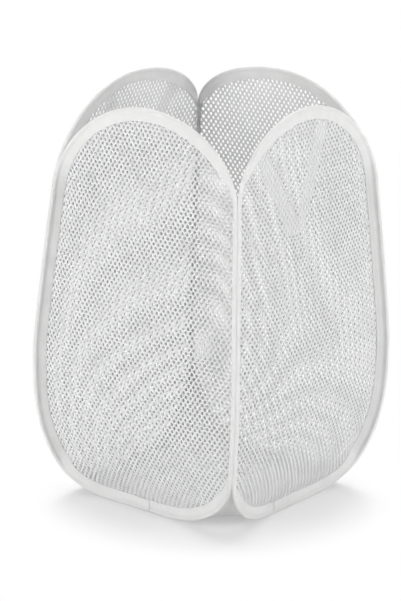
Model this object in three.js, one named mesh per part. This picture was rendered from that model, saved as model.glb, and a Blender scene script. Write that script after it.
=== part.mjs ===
// Pop-up laundry hamper. Four mesh panels stand in a square, each framed by a sprung wire hoop in a folded
// cloth binding. The bindings are sewn together face to face along the four corners, and the floor is a cloth
// square with a gusset rising at each corner. Two webbing handles hang from the rim.
// Millimetres, +Z up. The origin is on the floor under the middle, and the front panel faces -Y.
import * as THREE from "three";

// Driving dimensions of the whole hamper
const overallHeight = 610;
const floorHalfWidth = 137;
const wideHalfWidth = 186;
const wideHeight = 227;
const topHalfWidth = 155;

// Driving dimensions of the corners: where each seam ends, and how the hoops round off below it
const frontSeamTop = 500;
const sideSeamTop = 465;
const backSeamTop = 530;
const frontFootWidth = 110;
const frontFootHeight = 103;
const sideFootWidth = 50;
const sideFootHeight = 50;

// Driving dimensions of the hoops and their bindings
const wireDiameter = 2;
const wireEndGap = 1;
const sleeveDiameter = 3.3;
const sleeveBore = 2.5;
const sleeveLength = 28;
const bindingWidth = 19;
const bindingCloth = 0.8;
const bindingHead = 5.8;
const bindingHeadDepth = 4.2;
const bindingNose = 4.4;
const tunnelHead = 4.2;
const tunnelNose = 3.4;
const mouthGap = 1;
const seamSpace = 1.4;
const lapOffset = -13;
const lapLength = 24;

// Driving dimensions of the cloth and the handles
const meshThickness = 0.6;
const clothThickness = 1.2;
const clearance = 0.3;
const strapWidth = 25;
const strapThickness = 1.2;
const strapFrontOffset = -100;
const strapBackOffset = 46;
const strapEndDrop = 38;
const strapEndSlant = 20;
const strapLowOffset = -10;
const strapHang = 141;
const tackLength = 14;
const tackThickness = 0.8;
const tackSeat = 0.5;

// How the half width eases in below and above the widest height
const lowerEasePower = 3;
const upperEasePower = 1.15;

// How fast the mesh eases out from the drawn-in seams to the panel's own curve
const meshSetPower = 3;

// How far round its foot a gusset rises, of the quarter turn
const gussetRiseShare = 0.64;

// Steps of the faceted shapes
const footSteps = 6;
const seamSteps = 6;
const arcSteps = 12;
const meshColumns = 6;
const wireSides = 6;
const sleeveSides = 12;
const gussetRows = 6;
const strapBendSteps = 8;

const quarterTurn = Math.PI / 2;
const bindingHalfHead = bindingHead / 2;
const wireDepth = bindingCloth + tunnelHead / 2;
const halfSeamOffset = bindingHalfHead + seamSpace / 2;

const frontCorner = { seamTop: frontSeamTop, footWidth: frontFootWidth, footHeight: frontFootHeight };
const sideCorner = { seamTop: sideSeamTop, footWidth: sideFootWidth, footHeight: sideFootHeight };
const backCorner = { seamTop: backSeamTop, footWidth: frontFootWidth, footHeight: frontFootHeight };

// Each panel has the corner on its left and on its right, seen from outside
const panels = [
  { name: "front", left: sideCorner, right: frontCorner, rightName: "front" },
  { name: "right", left: frontCorner, right: sideCorner, rightName: "right" },
  { name: "back", left: sideCorner, right: backCorner, rightName: "back" },
  { name: "left", left: backCorner, right: sideCorner, rightName: "left" },
];

const finish = (color, roughness, metalness) => new THREE.MeshStandardMaterial({ color, roughness, metalness });
const meshMaterial = () => finish(0xe9e9ee, 0.75, 0);
const bindingMaterial = () => finish(0xf2f2f4, 0.65, 0);
const clothMaterial = () => finish(0xf0f0f2, 0.8, 0);
const webbingMaterial = () => finish(0xf6f6f8, 0.7, 0);
const threadMaterial = () => finish(0xfafafa, 0.6, 0);
const steelMaterial = () => finish(0xb8bbc0, 0.35, 1);

// Half of the hamper's width at a height: it swells to the widest height and draws in again to the rim
function halfWidthAt(height) {
  if (height < wideHeight) {
    const below = (wideHeight - height) / wideHeight;
    return wideHalfWidth - (wideHalfWidth - floorHalfWidth) * Math.pow(below, lowerEasePower);
  }
  const above = (height - wideHeight) / (overallHeight - wideHeight);
  return wideHalfWidth - (wideHalfWidth - topHalfWidth) * Math.pow(above, upperEasePower);
}

// How far the panel leans in for each millimetre up, above the widest height
function leanAt(height) {
  const above = (height - wideHeight) / (overallHeight - wideHeight);
  const rise = overallHeight - wideHeight;
  return ((wideHalfWidth - topHalfWidth) * upperEasePower * Math.pow(above, upperEasePower - 1)) / rise;
}

// One side of a hoop's outline, from the end of the floor run up the foot, the seam and the rim arc to the
// top. outAcross and outUp point out of the outline. seamShare is 1 where the binding lies in the corner's
// diagonal plane and 0 where it lies flat in the panel. spreadShare fades the room kept for the neighbour's
// binding, and lean is how far the binding leans in with the panel.
function outlineSide(corner) {
  const samples = [];
  for (let step = 0; step <= footSteps; step += 1) {
    const angle = quarterTurn * (step / footSteps);
    const height = corner.footHeight * (1 - Math.cos(angle));
    samples.push({
      across: halfWidthAt(height) - corner.footWidth * (1 - Math.sin(angle)),
      height,
      outAcross: Math.sin(angle) / corner.footWidth,
      outUp: -Math.cos(angle) / corner.footHeight,
      seamShare: Math.pow(1 - Math.cos(angle), 2),
      spreadShare: 1 - Math.cos(angle),
      lean: 0,
    });
  }
  for (let step = 1; step < seamSteps; step += 1) {
    const height = corner.footHeight + (corner.seamTop - corner.footHeight) * (step / seamSteps);
    const across = halfWidthAt(height);
    samples.push({ across, height, outAcross: 1, outUp: 0, seamShare: 1, spreadShare: 1, lean: 0 });
  }
  for (let step = 0; step <= arcSteps; step += 1) {
    const angle = quarterTurn * (step / arcSteps);
    const height = corner.seamTop + (overallHeight - corner.seamTop) * Math.sin(angle);
    samples.push({
      across: step === arcSteps ? 0 : halfWidthAt(height) * Math.cos(angle),
      height,
      outAcross: Math.cos(angle) / halfWidthAt(height),
      outUp: Math.sin(angle) / (overallHeight - corner.seamTop),
      seamShare: Math.pow(1 - Math.sin(angle), 2),
      spreadShare: 1 - Math.sin(angle),
      lean: leanAt(height) * Math.sin(angle),
    });
  }
  return samples;
}

// The whole outline of a panel's hoop, once round: up the right side, over the top and down the left side
function hoopOutline(panel) {
  const right = outlineSide(panel.right);
  const left = outlineSide(panel.left);
  left.pop();
  const mirrored = left.map((sample) => ({
    ...sample,
    across: -sample.across,
    outAcross: -sample.outAcross,
  }));
  return right.concat(mirrored.reverse());
}

// A frame at each sample of a hoop: a point on its outer edge, the way into the panel and the way across the
// binding. The front panel's own axes are used, X along the panel and -Y out of it.
function hoopFrames(panel) {
  const outline = hoopOutline(panel);
  const edge = outline.map(({ across, height }) => new THREE.Vector3(across, -halfWidthAt(height), height));
  return outline.map((sample, index) => {
    const before = edge[(index + edge.length - 1) % edge.length];
    const after = edge[(index + 1) % edge.length];
    const tangent = after.clone().sub(before).normalize();
    const outLength = Math.hypot(sample.outAcross, sample.outUp);
    const inward = new THREE.Vector3(
      -sample.outAcross / outLength,
      sample.seamShare - (sample.lean * sample.outUp) / outLength,
      -sample.outUp / outLength,
    ).normalize();
    const outFace = new THREE.Vector3().crossVectors(tangent, inward).normalize();
    if (outFace.y > 0) {
      outFace.negate();
    }
    const depth = new THREE.Vector3().crossVectors(outFace, tangent).normalize();
    if (depth.dot(inward) < 0) {
      depth.negate();
    }
    const origin = edge[index].clone().addScaledVector(outFace, halfSeamOffset * sample.spreadShare);
    return { origin, depth, outFace };
  });
}

// A point of a frame, so far in from the hoop's outer edge and so far across the binding
function framePoint(frame, inDepth, across) {
  return frame.origin.clone().addScaledVector(frame.depth, inDepth).addScaledVector(frame.outFace, across);
}

// Turns a closed body's faces outwards
function facingOut(positions, triangles) {
  let volume = 0;
  for (const [a, b, c] of triangles) {
    const normal = new THREE.Vector3().crossVectors(positions[b], positions[c]);
    volume += positions[a].dot(normal);
  }
  const order = volume < 0 ? triangles.map(([a, b, c]) => [a, c, b]) : triangles;
  const geometry = new THREE.BufferGeometry();
  const numbers = positions.flatMap((point) => point.toArray());
  geometry.setAttribute("position", new THREE.Float32BufferAttribute(numbers, 3));
  geometry.setIndex(order.flat());
  geometry.computeVertexNormals();
  return geometry;
}

// A body swept through rings of points that all have the same count, as a loop or with flat ends
function sweptGeometry(rings, isLoop, sectionShape) {
  const count = rings[0].length;
  const positions = rings.flat();
  const triangles = [];
  const spans = isLoop ? rings.length : rings.length - 1;
  for (let ring = 0; ring < spans; ring += 1) {
    const next = (ring + 1) % rings.length;
    for (let side = 0; side < count; side += 1) {
      const other = (side + 1) % count;
      const a = ring * count + side;
      const b = ring * count + other;
      const c = next * count + other;
      const d = next * count + side;
      triangles.push([a, b, c], [a, c, d]);
    }
  }
  if (!isLoop) {
    const last = (rings.length - 1) * count;
    const turn = THREE.ShapeUtils.area(sectionShape);
    for (const corners of THREE.ShapeUtils.triangulateShape(sectionShape, [])) {
      const keepsTurn = THREE.ShapeUtils.area(corners.map((corner) => sectionShape[corner])) * turn > 0;
      const [a, b, c] = keepsTurn ? corners : corners.toReversed();
      triangles.push([b, a, c], [last + a, last + b, last + c]);
    }
  }
  return facingOut(positions, triangles);
}

// A sheet of even thickness over a grid of middle points, each with its own normal
function sheetGeometry(rows, thickness) {
  const rowCount = rows.length;
  const columnCount = rows[0].length;
  const layer = rowCount * columnCount;
  const outer = rows.flat().map(({ point, normal }) => point.clone().addScaledVector(normal, thickness / 2));
  const inner = rows.flat().map(({ point, normal }) => point.clone().addScaledVector(normal, -thickness / 2));
  const triangles = [];
  const at = (row, column) => row * columnCount + column;
  for (let row = 0; row < rowCount - 1; row += 1) {
    for (let column = 0; column < columnCount - 1; column += 1) {
      const a = at(row, column);
      const b = at(row, column + 1);
      const c = at(row + 1, column + 1);
      const d = at(row + 1, column);
      triangles.push([a, b, c], [a, c, d]);
      triangles.push([layer + a, layer + c, layer + b], [layer + a, layer + d, layer + c]);
    }
  }
  const rim = [];
  for (let column = 0; column < columnCount - 1; column += 1) {
    rim.push(at(0, column));
  }
  for (let row = 0; row < rowCount - 1; row += 1) {
    rim.push(at(row, columnCount - 1));
  }
  for (let column = columnCount - 1; column > 0; column -= 1) {
    rim.push(at(rowCount - 1, column));
  }
  for (let row = rowCount - 1; row > 0; row -= 1) {
    rim.push(at(row, 0));
  }
  rim.forEach((a, index) => {
    const b = rim[(index + 1) % rim.length];
    triangles.push([a, layer + a, layer + b], [a, layer + b, b]);
  });
  return facingOut(outer.concat(inner), triangles);
}

// The binding's folded section: depth in from the outer edge, and distance across
const bindingSection = [
  [bindingWidth, mouthGap / 2 + bindingCloth],
  [bindingHeadDepth, bindingHead / 2],
  [0, bindingNose / 2],
  [0, -bindingNose / 2],
  [bindingHeadDepth, -bindingHead / 2],
  [bindingWidth, -mouthGap / 2 - bindingCloth],
  [bindingWidth, -mouthGap / 2],
  [bindingHeadDepth, -tunnelHead / 2],
  [bindingCloth, -tunnelNose / 2],
  [bindingCloth, tunnelNose / 2],
  [bindingHeadDepth, tunnelHead / 2],
  [bindingWidth, mouthGap / 2],
];

function bindingGeometry(panel) {
  const rings = hoopFrames(panel).map((frame) =>
    bindingSection.map(([inDepth, across]) => framePoint(frame, inDepth, across)),
  );
  return sweptGeometry(rings, true);
}

// The frame of the floor run at a place along it
function floorFrame(across) {
  return {
    origin: new THREE.Vector3(across, -floorHalfWidth, 0),
    depth: new THREE.Vector3(0, 0, 1),
    outFace: new THREE.Vector3(0, -1, 0),
  };
}

// The sprung wire runs once round the hoop, and its two ends meet in the sleeve on the floor run
function wireGeometry(panel) {
  const start = floorFrame(lapOffset + wireEndGap / 2);
  const end = floorFrame(lapOffset - wireEndGap / 2);
  const frames = [start, ...hoopFrames(panel), end];
  const section = [];
  for (let side = 0; side < wireSides; side += 1) {
    const angle = (2 * Math.PI * side) / wireSides;
    section.push(new THREE.Vector2(Math.cos(angle), Math.sin(angle)).multiplyScalar(wireDiameter / 2));
  }
  const rings = frames.map((frame) => section.map(({ x, y }) => framePoint(frame, wireDepth + x, y)));
  return sweptGeometry(rings, false, section);
}

// A crimped sleeve joins the wire's ends
function sleeveGeometry() {
  const shape = new THREE.Shape().absarc(0, 0, sleeveDiameter / 2, 0, 2 * Math.PI);
  shape.holes.push(new THREE.Path().absarc(0, 0, sleeveBore / 2, 0, 2 * Math.PI, true));
  const geometry = new THREE.ExtrudeGeometry(shape, {
    depth: sleeveLength,
    bevelEnabled: false,
    curveSegments: sleeveSides,
  });
  geometry.rotateY(quarterTurn);
  geometry.translate(lapOffset - sleeveLength / 2, -floorHalfWidth, wireDepth);
  return geometry;
}

// Distance across the binding to its outer face, at a depth behind the head
function bindingFaceAt(inDepth) {
  const share = (inDepth - bindingHeadDepth) / (bindingWidth - bindingHeadDepth);
  return bindingHalfHead + (mouthGap / 2 + bindingCloth - bindingHalfHead) * share;
}

// The binding's end laps over its start, sewn flat on the outer face of the floor run
function lapGeometry() {
  const shallow = bindingHeadDepth + clearance;
  const deep = bindingWidth - clearance;
  const section = [
    new THREE.Vector2(shallow, bindingFaceAt(shallow) + clearance),
    new THREE.Vector2(deep, bindingFaceAt(deep) + clearance),
    new THREE.Vector2(deep, bindingFaceAt(deep) + clearance + bindingCloth),
    new THREE.Vector2(shallow, bindingFaceAt(shallow) + clearance + bindingCloth),
  ];
  const rings = [lapOffset - lapLength / 2, lapOffset + lapLength / 2].map((across) =>
    section.map(({ x, y }) => framePoint(floorFrame(across), x, y)),
  );
  return sweptGeometry(rings, false, section);
}

// The mesh panel is stretched between the mouths of the binding, level with them all round
function meshGeometry(panel) {
  const frames = hoopFrames(panel);
  const half = footSteps + seamSteps + arcSteps;
  const mouthDepth = bindingWidth + clearance;
  const points = [];
  for (let row = 0; row < half; row += 1) {
    const right = framePoint(frames[row], mouthDepth, 0);
    const left = framePoint(frames[2 * half - row], mouthDepth, 0);
    const line = [];
    for (let column = 0; column <= meshColumns; column += 1) {
      const share = column / meshColumns;
      const point = left.clone().lerp(right, share);
      const leftSet = (left.y + halfWidthAt(left.z)) * Math.pow(1 - share, meshSetPower);
      const rightSet = (right.y + halfWidthAt(right.z)) * Math.pow(share, meshSetPower);
      point.y = leftSet + rightSet - halfWidthAt(point.z);
      line.push(point);
    }
    points.push(line);
  }
  const rows = points.map((line, row) =>
    line.map((point, column) => {
      const along = line[Math.min(column + 1, meshColumns)].clone().sub(line[Math.max(column - 1, 0)]);
      const below = points[Math.max(row - 1, 0)][column];
      const up = points[Math.min(row + 1, half - 1)][column].clone().sub(below);
      return { point, normal: along.cross(up).normalize() };
    }),
  );
  return sheetGeometry(rows, meshThickness);
}

// Stitching that joins two bindings along a corner: a slim wedge between their faces, behind the wires
function seamStitchingGeometry(corner) {
  const shallow = bindingHeadDepth + bindingNose;
  const deep = bindingWidth - bindingHead / 2;
  const section = [
    [shallow, halfSeamOffset - bindingFaceAt(shallow) - clearance],
    [deep, halfSeamOffset - bindingFaceAt(deep) - clearance],
    [deep, -halfSeamOffset + bindingFaceAt(deep) + clearance],
    [shallow, -halfSeamOffset + bindingFaceAt(shallow) + clearance],
  ].map(([inDepth, across]) => new THREE.Vector2(inDepth, across));
  const diagonal = Math.SQRT1_2;
  const rings = [];
  for (let step = 0; step <= seamSteps; step += 1) {
    const height = corner.footHeight + (corner.seamTop - corner.footHeight) * (step / seamSteps);
    const frame = {
      origin: new THREE.Vector3(halfWidthAt(height), -halfWidthAt(height), height),
      depth: new THREE.Vector3(-diagonal, diagonal, 0),
      outFace: new THREE.Vector3(-diagonal, -diagonal, 0),
    };
    rings.push(section.map(({ x, y }) => framePoint(frame, x, y)));
  }
  return sweptGeometry(rings, false, section);
}

// Where a gusset's edge runs: just outside a hoop's foot, from the floor up towards the seam
function gussetEdge(corner, share) {
  const gap = clearance + clothThickness;
  const lowAngle = Math.acos(1 - (gap + clearance) / corner.footHeight);
  const angle = lowAngle + (quarterTurn * gussetRiseShare - lowAngle) * share;
  const height = corner.footHeight * (1 - Math.cos(angle));
  const out = new THREE.Vector2(Math.sin(angle) / corner.footWidth, -Math.cos(angle) / corner.footHeight);
  out.normalize().multiplyScalar(gap);
  const halfWidth = halfWidthAt(height);
  const across = halfWidth - corner.footWidth * (1 - Math.sin(angle)) + out.x;
  return { across, halfWidth, height: height + out.y };
}

// A gusset closes the corner between two hoops, from where they part down to the floor
function gussetGeometry(corner) {
  const normal = new THREE.Vector3(1, -1, 0).normalize();
  const rows = [];
  for (let row = 0; row <= gussetRows; row += 1) {
    const edge = gussetEdge(corner, row / gussetRows);
    const start = new THREE.Vector3(edge.across, -edge.halfWidth, edge.height);
    const end = new THREE.Vector3(edge.halfWidth, -edge.across, edge.height);
    rows.push([start, start.clone().lerp(end, 1 / 2), end].map((point) => ({ point, normal })));
  }
  return sheetGeometry(rows, clothThickness);
}

// The floor cloth: a square with its corners cut straight along the gussets
function floorGeometry() {
  const edge = floorHalfWidth - bindingHalfHead - clearance;
  const cutSet = (clothThickness / 2 + clearance) * Math.SQRT2;
  const shape = new THREE.Shape();
  const cuts = [frontCorner, sideCorner, backCorner, sideCorner].map((corner) => gussetEdge(corner, 0));
  const points = cuts.flatMap((cut, index) => {
    const run = cut.across + cut.halfWidth - cutSet - edge;
    return [[run, -edge], [edge, -run]].map(([x, y]) =>
      new THREE.Vector2(x, y).rotateAround(new THREE.Vector2(), quarterTurn * index),
    );
  });
  shape.setFromPoints(points);
  return new THREE.ExtrudeGeometry(shape, { depth: clothThickness, bevelEnabled: false });
}

// The two ends of a handle, as places along the panel and heights, and the slant of the line through them
const strapFrontEnd = new THREE.Vector2(strapFrontOffset, overallHeight - strapEndDrop - strapEndSlant / 2);
const strapBackEnd = new THREE.Vector2(strapBackOffset, overallHeight - strapEndDrop + strapEndSlant / 2);
const strapSlant = Math.atan2(strapBackEnd.y - strapFrontEnd.y, strapBackEnd.x - strapFrontEnd.x);

// The way a leg of a handle runs down from its end: its middle line passes the inside corner at half width
function strapWay(end, insideCorner, side) {
  const reach = insideCorner.clone().sub(end);
  const angle = side * Math.asin(strapWidth / 2 / reach.length());
  return reach.rotateAround(new THREE.Vector2(), angle).normalize();
}

// A handle is a loop of webbing that hangs in a soft V. Its axes: X along the line through its ends, Y up.
function strapGeometry() {
  const insideCorner = new THREE.Vector2(strapLowOffset, strapFrontEnd.y - strapHang + strapWidth)
    .sub(strapFrontEnd)
    .rotateAround(new THREE.Vector2(), -strapSlant);
  const leftWay = strapWay(new THREE.Vector2(), insideCorner, -1);
  const rightWay = strapWay(new THREE.Vector2(strapFrontEnd.distanceTo(strapBackEnd), 0), insideCorner, 1);
  const innerAt = (way) => insideCorner.clone().addScaledVector(way, insideCorner.y / -way.y);
  const outerStep = (way) => strapWidth / Math.abs(way.y);
  const innerLeft = innerAt(leftWay);
  const innerRight = innerAt(rightWay);
  const shape = new THREE.Shape();
  shape.moveTo(innerLeft.x, 0);
  shape.lineTo(innerLeft.x - outerStep(leftWay), 0);
  const startAngle = Math.atan2(leftWay.y, leftWay.x) - quarterTurn;
  const endAngle = Math.atan2(rightWay.y, rightWay.x) + quarterTurn;
  for (let step = 0; step <= strapBendSteps; step += 1) {
    const angle = startAngle + (endAngle - startAngle) * (step / strapBendSteps);
    shape.lineTo(insideCorner.x + strapWidth * Math.cos(angle), insideCorner.y + strapWidth * Math.sin(angle));
  }
  shape.lineTo(innerRight.x + outerStep(rightWay), 0);
  shape.lineTo(innerRight.x, 0);
  shape.lineTo(insideCorner.x, insideCorner.y);
  shape.closePath();
  const geometry = new THREE.ExtrudeGeometry(shape, { depth: strapThickness, bevelEnabled: false });
  geometry.translate(0, 0, -strapThickness / 2);
  return geometry;
}

function namedMesh(name, geometry, material) {
  const mesh = new THREE.Mesh(geometry, material);
  mesh.name = name;
  return mesh;
}

// A handle's own axes stand at its front end: X along its hinge line, Y up the panel's slope, Z out of it
function handleAxes(side, slope) {
  const face = halfWidthAt(strapFrontEnd.y) + side * bindingHalfHead;
  const setOut = face + side * (tackSeat + tackThickness + clearance + strapThickness / 2);
  const frame = new THREE.Group();
  frame.position.set(strapFrontEnd.x, -setOut, strapFrontEnd.y);
  frame.rotation.set(quarterTurn - slope, 0, 0);
  const slant = new THREE.Group();
  slant.rotation.z = strapSlant;
  frame.add(slant);
  return { frame, slant };
}

// Handle, with the two patches of stitching that hold its ends to the binding. side is 1 for a handle that hangs
// outside, against the swell of its panel, and -1 for one that hangs plumb inside.
function addHandle(group, name, side) {
  const slope = Math.atan2(halfWidthAt(strapFrontEnd.y) - topHalfWidth, overallHeight - strapFrontEnd.y);
  const { frame, slant } = handleAxes(side, slope);
  const strap = namedMesh(`${name}_handle_strap`, strapGeometry(), webbingMaterial());
  strap.rotation.x = side < 0 ? slope : 0;
  slant.add(strap);
  const span = strapFrontEnd.distanceTo(strapBackEnd);
  const tackSet = -side * (strapThickness / 2 + clearance + tackThickness / 2);
  [["front", 0], ["back", span]].forEach(([end, along]) => {
    const patch = new THREE.BoxGeometry(strapWidth, tackLength, tackThickness);
    patch.translate(along, tackLength / 2 + clearance, tackSet);
    slant.add(namedMesh(`${name}_handle_${end}_tack`, patch, threadMaterial()));
  });
  group.add(frame);
}

const hamper = new THREE.Group();
panels.forEach((panel, index) => {
  const group = new THREE.Group();
  group.rotation.z = quarterTurn * index;
  group.add(namedMesh(`${panel.name}_mesh_panel`, meshGeometry(panel), meshMaterial()));
  group.add(namedMesh(`${panel.name}_binding`, bindingGeometry(panel), bindingMaterial()));
  group.add(namedMesh(`${panel.name}_hoop_wire`, wireGeometry(panel), steelMaterial()));
  group.add(namedMesh(`${panel.name}_wire_sleeve`, sleeveGeometry(), steelMaterial()));
  group.add(namedMesh(`${panel.name}_binding_lap`, lapGeometry(), bindingMaterial()));
  const stitching = seamStitchingGeometry(panel.right);
  group.add(namedMesh(`${panel.rightName}_corner_stitching`, stitching, threadMaterial()));
  group.add(namedMesh(`${panel.rightName}_corner_gusset`, gussetGeometry(panel.right), clothMaterial()));
  hamper.add(group);
  if (panel.name === "right") {
    addHandle(group, panel.name, -1);
  }
  if (panel.name === "left") {
    addHandle(group, panel.name, 1);
  }
});
hamper.add(namedMesh("floor_cloth", floorGeometry(), clothMaterial()));

export default hamper;
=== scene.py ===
import math

import bpy
import numpy as np
from mathutils import Matrix, Vector


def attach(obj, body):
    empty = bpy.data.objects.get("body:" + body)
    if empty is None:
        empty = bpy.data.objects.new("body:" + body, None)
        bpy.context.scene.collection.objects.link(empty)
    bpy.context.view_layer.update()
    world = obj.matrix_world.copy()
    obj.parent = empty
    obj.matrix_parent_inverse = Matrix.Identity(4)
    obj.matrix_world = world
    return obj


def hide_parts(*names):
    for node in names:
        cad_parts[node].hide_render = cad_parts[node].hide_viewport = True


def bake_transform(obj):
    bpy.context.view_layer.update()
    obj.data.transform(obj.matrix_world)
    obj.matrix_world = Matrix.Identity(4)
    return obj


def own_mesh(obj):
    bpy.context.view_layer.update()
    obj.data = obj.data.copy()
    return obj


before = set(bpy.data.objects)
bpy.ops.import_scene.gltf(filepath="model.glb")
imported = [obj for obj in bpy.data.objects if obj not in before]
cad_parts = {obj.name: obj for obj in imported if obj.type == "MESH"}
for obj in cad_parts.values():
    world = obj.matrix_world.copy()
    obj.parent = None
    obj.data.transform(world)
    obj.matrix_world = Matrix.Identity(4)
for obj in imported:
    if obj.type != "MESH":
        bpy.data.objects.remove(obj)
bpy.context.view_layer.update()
MM = 0.001

# Outline of a panel: half its width at the floor, at its widest and at the top
HEIGHT = 0.610
FLOOR_HALF = 0.137
WIDE_HALF = 0.186
WIDE_Z = 0.227
TOP_HALF = 0.155
LOWER_POWER = 3
UPPER_POWER = 1.15

# Corners: where the seam ends, and the width and height of the rounded foot
FRONT_CORNER = (0.500, 0.110, 0.103)
SIDE_CORNER = (0.465, 0.050, 0.050)
BACK_CORNER = (0.530, 0.110, 0.103)

# Panels: name, quarter turns, corner on the left and on the right seen from outside
PANELS = [
    ("front", 0, SIDE_CORNER, FRONT_CORNER),
    ("right", 1, FRONT_CORNER, SIDE_CORNER),
    ("back", 2, SIDE_CORNER, BACK_CORNER),
    ("left", 3, BACK_CORNER, SIDE_CORNER),
]

# Bindings: depths from the outer edge, and how far a tape's middle stands back from its seam
BINDING_WIDTH = 0.019
WIRE_DEPTH = 0.0029
TUNNEL_STITCH = 0.0066
EDGE_STITCH = 0.0168
SEAM_SET = 0.0031


# ---- camera
CAMERA_PLACE = (2.8005, -3.6503, 1.7943)
CAMERA_RIGHT = (0.78658, 0.61714, 0.02081)
CAMERA_BACK = (0.58163, -0.75179, 0.31067)
CAMERA_LENS = 198.6
CAMERA_SENSOR = 36


def add_object(name, data):
    made = bpy.data.objects.new(name, data)
    bpy.context.scene.collection.objects.link(made)
    return made


def make_camera():
    """The camera fitted to the hamper's outlines in the photo."""
    data = bpy.data.cameras.new("camera")
    data.sensor_fit = "AUTO"
    data.sensor_width = data.sensor_height = CAMERA_SENSOR
    data.lens = CAMERA_LENS
    data.clip_end = 100
    right, back = Vector(CAMERA_RIGHT).normalized(), Vector(CAMERA_BACK).normalized()
    up = back.cross(right).normalized()
    right = up.cross(back).normalized()
    camera = add_object("camera", data)
    camera.matrix_world = Matrix.Translation(CAMERA_PLACE) @ Matrix((right, up, back)).transposed().to_4x4()
    bpy.context.scene.camera = camera


# ---- materials
THROUGH_COLOR = (0.9, 0.9, 0.895, 1)
WHITE = (1, 1, 1, 1)
# How much less blue than red the cloths are
WARMTH = 0.005
# Noise in the cloth, in features per metre
FUZZ_SCALE = 1800.0
BLOTCH_SCALE = 40.0


def fill(tree, node, inputs):
    """Sets a node's inputs to numbers or colours, or joins them to other nodes' outputs."""
    for key, value in inputs.items():
        if isinstance(value, bpy.types.NodeSocket):
            tree.links.new(value, node.inputs[key])
        else:
            node.inputs[key].default_value = value


def new_node(tree, kind, inputs):
    node = tree.nodes.new(kind)
    fill(tree, node, inputs)
    return node


def node_material(name):
    made = bpy.data.materials.new(name)
    made.use_nodes = True
    return made, made.node_tree, made.node_tree.nodes["Principled BSDF"]


def math_node(tree, operation, *values):
    node = new_node(tree, "ShaderNodeMath", dict(enumerate(values)))
    node.operation = operation
    return node.outputs[0]


def times(tree, *values):
    return math_node(tree, "MULTIPLY", *values)


def noise(tree, vector, scale, detail=3.0):
    node = new_node(tree, "ShaderNodeTexNoise", {"Scale": scale, "Detail": detail, "Vector": vector})
    return node.outputs["Fac"]


def bump(tree, height, strength, distance):
    inputs = {"Strength": strength, "Distance": distance, "Height": height}
    return new_node(tree, "ShaderNodeBump", inputs).outputs[0]


def ramp(tree, value, low, high, places=(0.3, 0.7)):
    node = new_node(tree, "ShaderNodeValToRGB", {"Fac": value})
    for stop, place, color in zip(node.color_ramp.elements, places, (low, high)):
        stop.position = place
        stop.color = (*color, 1)
    return node.outputs["Color"]


def mix_surface(tree, share, first, second, output="Material Output"):
    """The surface is the first shader with that share of the second."""
    mix = new_node(tree, "ShaderNodeMixShader", {0: share, 1: first.outputs[0], 2: second.outputs[0]})
    fill(tree, tree.nodes[output], {"Surface": mix.outputs[0]})


def let_through(tree, shader, share):
    """Thin cloth lets some of the light through: that share is mixed in as a translucent surface."""
    mix_surface(tree, share, shader, new_node(tree, "ShaderNodeBsdfTranslucent", {"Color": THROUGH_COLOR}))


def surface_coordinates(tree, uses_cut):
    """Places on the flat cloth, or in the object's own space."""
    if uses_cut:
        node = tree.nodes.new("ShaderNodeUVMap")
        node.uv_map = "cut"
        return node.outputs["UV"]
    return tree.nodes.new("ShaderNodeTexCoord").outputs["Object"]


def fabric(name, dark, light, rough, pitches, relief, sheen=0.0, through=0.0, uses_cut=True):
    """Woven cloth: threads at two pitches in metres as relief, with soft blotches of shade."""
    made, tree, shader = node_material(name)
    where = surface_coordinates(tree, uses_cut)
    split = new_node(tree, "ShaderNodeSeparateXYZ", {0: where})
    weave = times(tree, *[
        math_node(tree, "SINE", times(tree, split.outputs[axis], math.tau / pitch))
        for axis, pitch in enumerate(pitches)
    ])
    fuzz = times(tree, noise(tree, where, FUZZ_SCALE, 2.0), 0.8)
    blotches = times(tree, noise(tree, where, BLOTCH_SCALE, 4.0), 0.8)
    shade = math_node(tree, "ADD", blotches, times(tree, weave, 0.06))
    low, high = ((grey, grey, grey - WARMTH) for grey in (dark, light))
    fill(tree, shader, {
        "Normal": bump(tree, math_node(tree, "ADD", weave, fuzz), 0.6, relief),
        "Base Color": ramp(tree, shade, low, high, (0.2, 0.6)),
        "Roughness": rough,
        "Specular IOR Level": 0.3,
    })
    if sheen:
        fill(tree, shader, {"Sheen Weight": sheen, "Sheen Roughness": 0.4})
    if through:
        let_through(tree, shader, through)
    return made


def net_yarn():
    """Knitted polyester yarn: fine slanting loops along the strands."""
    made, tree, shader = node_material("net_yarn")
    where = surface_coordinates(tree, False)
    wave = new_node(tree, "ShaderNodeTexWave", {
        "Scale": 260.0, "Distortion": 3.0, "Detail": 2.0, "Detail Scale": 2.0, "Vector": where,
    })
    wave.wave_type = "BANDS"
    wave.bands_direction = "DIAGONAL"
    loops = wave.outputs["Fac"]
    height = math_node(tree, "ADD", loops, times(tree, noise(tree, where, 2200.0), 0.7))
    shade = math_node(tree, "ADD", times(tree, loops, 0.25), noise(tree, where, 25.0))
    fill(tree, shader, {
        "Normal": bump(tree, height, 0.5, 0.0002),
        "Base Color": ramp(tree, shade, (0.69, 0.69, 0.695), (0.77, 0.77, 0.775), (0.3, 0.9)),
        "Roughness": 0.7,
        "Specular IOR Level": 0.25,
    })
    let_through(tree, shader, 0.05)
    return made


def steel():
    """Drawn spring steel with a fine grain."""
    made, tree, shader = node_material("spring_steel")
    grain = noise(tree, surface_coordinates(tree, False), 900.0, 5.0)
    rough = new_node(tree, "ShaderNodeMapRange", {"To Min": 0.25, "To Max": 0.45, "Value": grain})
    fill(tree, shader, {
        "Base Color": ramp(tree, grain, (0.42, 0.43, 0.45), (0.62, 0.63, 0.66)),
        "Roughness": rough.outputs[0],
        "Metallic": 1.0,
    })
    return made


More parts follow.
